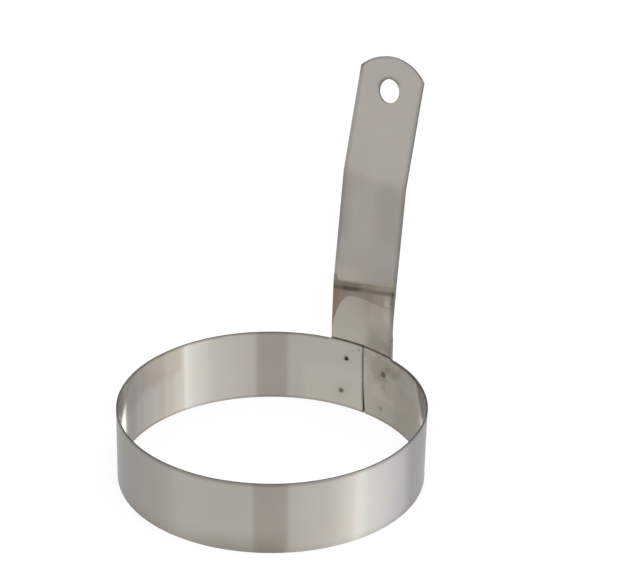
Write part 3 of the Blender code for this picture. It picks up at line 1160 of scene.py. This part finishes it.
def add_welds():
    """Metal in the bottom of each pit, and a smaller mark on the back of the foot behind it."""
    mark = FOOT_RADIUS + HANDLE_GAUGE - MARK_DEPTH - 0.01 * MM
    for seed, (name, (arc, height, pit, burnt)) in enumerate(WELDS.items()):
        metal = weld_metal("weld_metal_" + name, burnt)
        bottom = INNER_RADIUS + pit_bottom(burnt) * 0.75 + DISH_DEPTH
        inside = nugget_mesh(name + "_inside", arc, height, bottom, pit * 0.72, -0.06 * MM, seed)
        add_piece(name + "_inside", inside, [name], [metal])
        size = MARK_RADIUS * 0.45
        outside = nugget_mesh(name + "_outside", arc, height, mark, size, 0.03 * MM, seed + 7)
        add_piece(name + "_outside", outside, [name], [metal])


def studio_colour(graph, angle):
    """The studio's colour ramp by azimuth, with its peak strength, by which the colours are divided."""
    turn = graph.plus(graph.math("DIVIDE", angle, 2 * pi), 0.5)
    ramp = graph.node("ValToRGB", {"Fac": turn})
    stops = ramp.color_ramp.elements
    peak = max(strength * max(tint) for _, strength, tint in STUDIO)
    for i, (degrees, strength, tint) in enumerate(STUDIO):
        place = degrees / 360 + 0.5
        stop = stops[i] if i < 2 else stops.new(place)
        stop.position = place
        stop.color = rgba([strength * tone / peak for tone in tint])
    return ramp.outputs[0], peak


def build_world():
    """White to the camera; in the steel a studio with the camera's dark gap and a bright right side."""
    world = bpy.data.worlds.new("studio")
    bpy.context.scene.world = world
    world.use_nodes = True
    graph = Graph(world.node_tree)
    direction = graph.node("TexCoord").outputs["Generated"]
    ahead = graph.vector("DOT_PRODUCT", direction, (sin(CAMERA_AZIMUTH), -cos(CAMERA_AZIMUTH), 0))
    across = graph.vector("DOT_PRODUCT", direction, (cos(CAMERA_AZIMUTH), sin(CAMERA_AZIMUTH), 0))
    angle = graph.math("ARCTAN2", across, ahead)
    colour, peak = studio_colour(graph, angle)
    height = graph.parts(direction)[2]
    lower, upper = [graph.ramp(height, *places) for places in STUDIO_HEIGHTS]
    strength = graph.times(graph.plus(lower, upper), peak)
    left, right = [
        graph.ramp(angle, radians(low), radians(high), *factors)
        for low, high, *factors in SECOND_LOOK
    ]
    again = graph.math("GREATER_THAN", graph.node("LightPath").outputs["Glossy Depth"], 1.5)
    second = graph.times(again, graph.minus(graph.math("MINIMUM", left, right), 1.0))
    strength = graph.times(strength, graph.plus(second, 1.0))
    studio = graph.node("Background", {"Color": colour, "Strength": strength})
    fill = graph.node("Background", {"Color": rgba(GREY), "Strength": FILL_STRENGTH})
    white = graph.node("Background", {"Color": rgba(GREY), "Strength": 1.0})
    lit = graph.mix_shader(graph.rays("Glossy"), fill, studio)
    shown = graph.mix_shader(graph.rays("Camera", "Transmission"), lit, white)
    graph.finish(shown, "OutputWorld")


def build_floor():
    """A pale floor that reads as white and keeps a soft share of the object's shadow."""
    corners = [(x * FLOOR_HALF, y * FLOOR_HALF, 0) for x, y in ((-1, -1), (1, -1), (1, 1), (-1, 1))]
    floor = add_faces("floor", corners, [(0, 1, 2, 3)])
    floor.location.z = -FLOOR_DROP
    floor.visible_glossy = False
    made, graph = new_material("floor_white")
    diffuse = graph.node("BsdfDiffuse", {"Color": rgba(FLOOR_COLOUR)})
    glow = graph.node("Emission", {"Color": rgba(GREY), "Strength": FLOOR_GLOW})
    share = graph.times(graph.rays("Camera", "Glossy", "Transmission"), FLOOR_GLOW_SHARE)
    shown = graph.mix_shader(share, diffuse, glow)
    graph.finish(shown)
    floor.data.materials.append(made)


def add_foot_glow(name, first, last, strength):
    """A low strip inside the hoop's foot below the handle, seen only in the steel and from inside."""
    arcs = spread(first, last, 1.0 * MM)
    radius = INNER_RADIUS - FOOT_GLOW_GAP
    points = [on_wall(arc, z, radius) for arc in arcs for z in (0.0, FOOT_GLOW_HEIGHT)]
    quads = [(2 * i, 2 * i + 2, 2 * i + 3, 2 * i + 1) for i in range(len(arcs) - 1)]
    finish_card(add_faces(name, points, quads), strength)


def add_card():
    """A white card below the floor behind the hoop, seen only in the steel and from the left."""
    near = [(0, CARD_NEAREST, CARD_TOP), (0, CARD_NEAREST, CARD_BOTTOM)]
    far = [(CARD_LEAN, CARD_FARTHEST, CARD_BOTTOM), (CARD_LEAN, CARD_FARTHEST, CARD_TOP)]
    card = add_faces("left_card", near + far, [(3, 2, 1, 0)])
    card.location = AXIS
    card.rotation_euler.z = CAMERA_AZIMUTH
    finish_card(card, CARD_STRENGTH)


def finish_card(card, strength):
    """Makes a stage piece glow on its front and keeps it out of everything but reflections."""
    card.visible_camera = False
    card.visible_diffuse = False
    card.visible_shadow = False
    card.visible_transmission = False
    made, graph = new_material(card.name)
    glow = graph.node("Emission", {"Color": rgba(GREY), "Strength": strength})
    clear = graph.node("BsdfTransparent")
    back = graph.node("NewGeometry").outputs["Backfacing"]
    shown = graph.mix_shader(back, glow, clear)
    graph.finish(shown)
    card.data.materials.append(made)


def add_lamp():
    data = bpy.data.lights.new("top_light", "AREA")
    data.shape = "SQUARE"
    data.size = LAMP_SIZE
    data.energy = LAMP_POWER
    lamp = add_object("top_light", data)
    azimuth = CAMERA_AZIMUTH + radians(LAMP_AZIMUTH)
    elevation = radians(LAMP_ELEVATION)
    level = cos(elevation)
    back = Vector((sin(azimuth) * level, -cos(azimuth) * level, sin(elevation)))
    lamp.location = AXIS + Vector((0, 0, LAMP_TARGET)) + back * LAMP_DISTANCE
    lamp.rotation_euler = back.to_track_quat("Z", "Y").to_euler()


def main():
    bpy.context.scene.view_settings.view_transform = "Standard"
    add_camera()
    build_world()
    build_floor()
    add_lamp()
    add_card()
    for name, first, last, strength in FOOT_GLOWS:
        add_foot_glow(name, first, last, strength)

    rim = cut_edge("rim_edge", RIM_COLOUR, RIM_PAINTED_LIGHT)
    edge = cut_edge("strip_edge", STRIP_EDGE_COLOUR)
    band_steel = steel("band_steel", BAND_ROUGHNESS, BAND_TANGENT, BAND_GRAIN, band_marks_and_painted_light)
    handle_steel = steel("handle_steel", HANDLE_ROUGHNESS, HANDLE_TANGENT, HANDLE_GRAIN, handle_marks_and_painted_light)
    add_piece("rolled_band", band_mesh(), ["ring_band"], [band_steel, rim])
    add_piece("pressed_handle", handle_mesh(), ["handle"], [handle_steel, edge])
    add_welds()


main()
